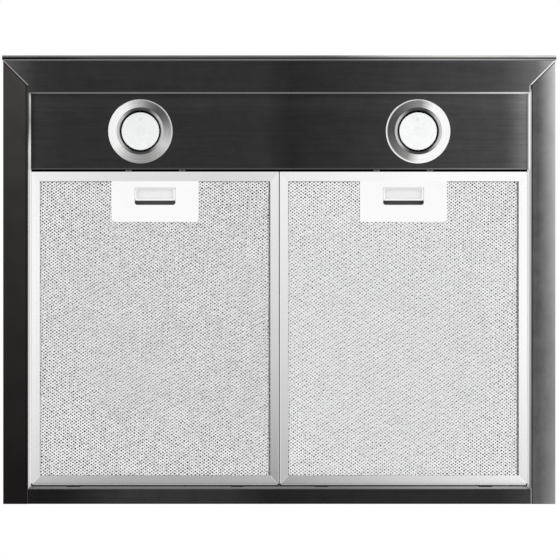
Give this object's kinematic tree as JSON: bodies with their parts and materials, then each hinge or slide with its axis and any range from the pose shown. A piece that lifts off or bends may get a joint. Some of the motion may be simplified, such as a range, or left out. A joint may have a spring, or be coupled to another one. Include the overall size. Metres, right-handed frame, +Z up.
{
  "type": "chimney range hood",
  "caption": "Wall-mounted chimney range hood with hinged mesh filters, push buttons, lamps, a blower, a damper collar and a telescopic chimney.",
  "frame": {"origin": "middle of the footprint, at the rim's underside", "axes": "+X to the right seen from the front, +Y towards the wall, +Z up"},
  "size_m": [0.6, 0.486, 0.801],
  "materials": {
    "black_steel": "black stainless, brushed",
    "zinc_steel": "zinc plated sheet",
    "brushed_bezel": "brushed in rings",
    "button_steel": "satin",
    "frosted_lens": "frosted",
    "circuit_board": "solder mask",
    "filter_aluminium": "bright, drawn",
    "white_plastic": "moulded gloss",
    "black_plastic": "moulded satin",
    "grey_plastic": "moulded satin",
    "motor_paint": "satin paint"
  },
  "bodies": {
    "hood": {"blower_scroll": "zinc_steel", "blower_side_left": "zinc_steel", "blower_side_right": "zinc_steel", "cable_gland": "black_plastic", "capacitor": "grey_plastic", "control_board": "circuit_board", "control_box": "black_plastic", "control_cover": "black_plastic", "damper_pins": "zinc_steel", "duct_collar": "zinc_steel", "fixing_screws": "zinc_steel", "front_fascia": "black_steel", "front_panel": "black_steel", "lamp_bezel_left": "brushed_bezel", "lamp_bezel_right": "brushed_bezel", "lamp_can_left": "zinc_steel", "lamp_can_right": "zinc_steel", "lamp_lens_left": "frosted_lens", "lamp_lens_right": "frosted_lens", "led_boards": "circuit_board", "led_driver": "grey_plastic", "left_panel": "black_steel", "light_panel": "black_steel", "lower_chimney": "black_steel", "motor": "motor_paint", "motor_bracket": "zinc_steel", "rear_panel": "black_steel", "right_panel": "black_steel", "switch_housing": "black_plastic", "top_deck": "zinc_steel"},
    "button_power": {"button_power": "button_steel"},
    "button_slow": {"button_slow": "button_steel"},
    "button_medium": {"button_medium": "button_steel"},
    "button_fast": {"button_fast": "button_steel"},
    "button_light": {"button_light": "button_steel"},
    "filter_left": {"filter_frame_left": "filter_aluminium", "filter_mesh_left": "filter_aluminium", "filter_back_left": "filter_aluminium", "filter_core_left": "filter_aluminium", "filter_hooks_left": "filter_aluminium", "filter_handle_left": "white_plastic", "latch_housing_left": "black_plastic", "latch_springs_left": "zinc_steel"},
    "latch_left": {"filter_latch_left": "white_plastic"},
    "flap_left": {"damper_flap_left": "black_plastic"},
    "filter_right": {"filter_frame_right": "filter_aluminium", "filter_mesh_right": "filter_aluminium", "filter_back_right": "filter_aluminium", "filter_core_right": "filter_aluminium", "filter_hooks_right": "filter_aluminium", "filter_handle_right": "white_plastic", "latch_housing_right": "black_plastic", "latch_springs_right": "zinc_steel"},
    "latch_right": {"filter_latch_right": "white_plastic"},
    "flap_right": {"damper_flap_right": "black_plastic"},
    "impeller": {"impeller": "zinc_steel", "impeller_blades": "zinc_steel", "motor_shaft": "zinc_steel"},
    "upper_chimney": {"upper_chimney": "black_steel", "chimney_bracket": "zinc_steel"}
  },
  "joints": [
    {"name": "button_power_press", "type": "slide", "parent": "hood", "child": "button_power", "axis": [0, 1, 0], "range_m": [0, 0.002], "stiffness_N_per_m": 400, "springref_m": -0.002},
    {"name": "button_slow_press", "type": "slide", "parent": "hood", "child": "button_slow", "axis": [0, 1, 0], "range_m": [0, 0.002], "stiffness_N_per_m": 400, "springref_m": -0.002},
    {"name": "button_medium_press", "type": "slide", "parent": "hood", "child": "button_medium", "axis": [0, 1, 0], "range_m": [0, 0.002], "stiffness_N_per_m": 400, "springref_m": -0.002},
    {"name": "button_fast_press", "type": "slide", "parent": "hood", "child": "button_fast", "axis": [0, 1, 0], "range_m": [0, 0.002], "stiffness_N_per_m": 400, "springref_m": -0.002},
    {"name": "button_light_press", "type": "slide", "parent": "hood", "child": "button_light", "axis": [0, 1, 0], "range_m": [0, 0.002], "stiffness_N_per_m": 400, "springref_m": -0.002},
    {"name": "filter_left_swing", "type": "hinge", "parent": "hood", "child": "filter_left", "pos_m": [-0.136, 0.2275, 0.02075], "axis": [1, 0, 0], "range_deg": [0, 50]},
    {"name": "latch_left_slide", "type": "slide", "parent": "filter_left", "child": "latch_left", "axis": [0, 1, 0], "range_m": [0, 0.0046], "stiffness_N_per_m": 300, "springref_m": -0.004, "deforming": ["latch_springs_left"]},
    {"name": "flap_left_lift", "type": "hinge", "parent": "hood", "child": "flap_left", "pos_m": [-0.0034, 0.14, 0.267], "axis": [0, 1, 0], "range_deg": [0, 80]},
    {"name": "filter_right_swing", "type": "hinge", "parent": "hood", "child": "filter_right", "pos_m": [0.136, 0.2275, 0.02075], "axis": [1, 0, 0], "range_deg": [0, 50]},
    {"name": "latch_right_slide", "type": "slide", "parent": "filter_right", "child": "latch_right", "axis": [0, 1, 0], "range_m": [0, 0.0046], "stiffness_N_per_m": 300, "springref_m": -0.004, "deforming": ["latch_springs_right"]},
    {"name": "flap_right_lift", "type": "hinge", "parent": "hood", "child": "flap_right", "pos_m": [0.0034, 0.14, 0.267], "axis": [0, -1, 0], "range_deg": [0, 80]},
    {"name": "impeller_spin", "type": "hinge", "parent": "hood", "child": "impeller", "pos_m": [0, 0.11, 0.165], "axis": [1, 0, 0], "continuous": true},
    {"name": "chimney_slide", "type": "slide", "parent": "hood", "child": "upper_chimney", "axis": [0, 0, 1], "range_m": [-0.13, 0.2]}
  ]
}
